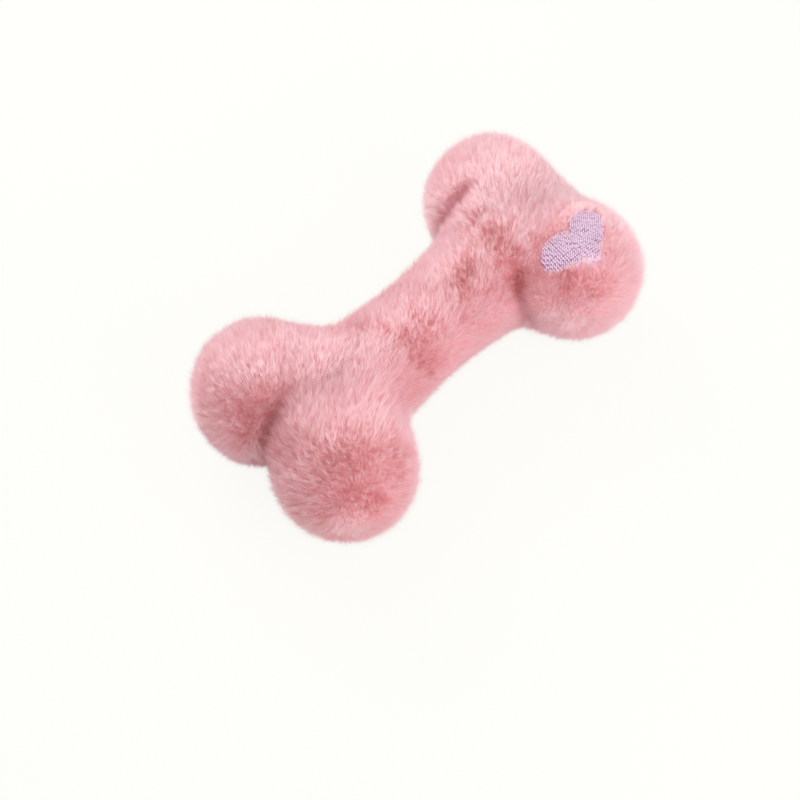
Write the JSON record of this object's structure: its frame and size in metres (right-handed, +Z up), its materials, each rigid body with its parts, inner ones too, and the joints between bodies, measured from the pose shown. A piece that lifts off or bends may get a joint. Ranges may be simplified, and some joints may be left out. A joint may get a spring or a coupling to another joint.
{
  "type": "squeaky plush dog toy",
  "caption": "Plush bone in long-pile faux fur for a dog, with an embroidered heart that presses a bellows squeaker inside one lobe, and ends that bend at the necks.",
  "frame": {"origin": "on the floor, under the middle of the bone", "axes": "+X along the bone towards the end with the heart, +Z up with the heart on top"},
  "size_m": [0.2148, 0.1176, 0.0651],
  "materials": {
    "pink_fur": "long soft pile, dusty pink",
    "lilac_thread": "glossy embroidery thread, lilac",
    "stabiliser": "thin non-woven sheet, white",
    "polyester_fibre": "loose crimped fibre, white",
    "squeaker_shell": "soft moulded polyethylene, milky white",
    "whistle": "moulded, pale blue",
    "reed_film": "thin film, milky"
  },
  "bodies": {
    "shaft": {"shaft_cover_top": "pink_fur", "shaft_cover_bottom": "pink_fur", "shaft_filling": "polyester_fibre"},
    "left_end": {"left_rear_cover_top": "pink_fur", "left_rear_cover_bottom": "pink_fur", "left_rear_filling": "polyester_fibre", "left_front_cover_top": "pink_fur", "left_front_cover_bottom": "pink_fur", "left_front_filling": "polyester_fibre"},
    "right_end": {"right_rear_cover_top": "pink_fur", "right_rear_cover_bottom": "pink_fur", "right_rear_filling": "polyester_fibre", "heart_lobe_cover_top": "pink_fur", "heart_lobe_cover_bottom": "pink_fur", "heart_lobe_filling": "polyester_fibre", "squeaker_base": "squeaker_shell", "bellows_wall": "squeaker_shell", "whistle_barrel": "whistle", "reed_clip": "whistle"},
    "press": {"heart_pad": "pink_fur", "heart_backing": "stabiliser", "heart_patch": "lilac_thread", "press_filling": "polyester_fibre", "bellows_crown": "squeaker_shell"},
    "reed": {"reed_tongue": "reed_film"}
  },
  "joints": [
    {"name": "left_end_bend", "type": "hinge", "parent": "shaft", "child": "left_end", "pos_m": [-0.036, 0, 0.0323], "axis": [0, 1, 0], "range_deg": [-15, 15], "stiffness_Nm_per_rad": 1},
    {"name": "right_end_bend", "type": "hinge", "parent": "shaft", "child": "right_end", "pos_m": [0.036, 0, 0.0323], "axis": [0, -1, 0], "range_deg": [-15, 15], "stiffness_Nm_per_rad": 1},
    {"name": "heart_press", "type": "slide", "parent": "right_end", "child": "press", "axis": [0, 0, -1], "range_m": [0, 0.007], "stiffness_N_per_m": 800, "deforming": ["bellows_wall"]},
    {"name": "reed_flex", "type": "hinge", "parent": "right_end", "child": "reed", "pos_m": [0.0735, -0.0275, 0.0228], "axis": [1, 0, 0], "range_deg": [0, 4]}
  ],
  "couplings": [
    {"joint": "reed_flex", "follows": "heart_press", "rad_per_m": 9.9633}
  ]
}
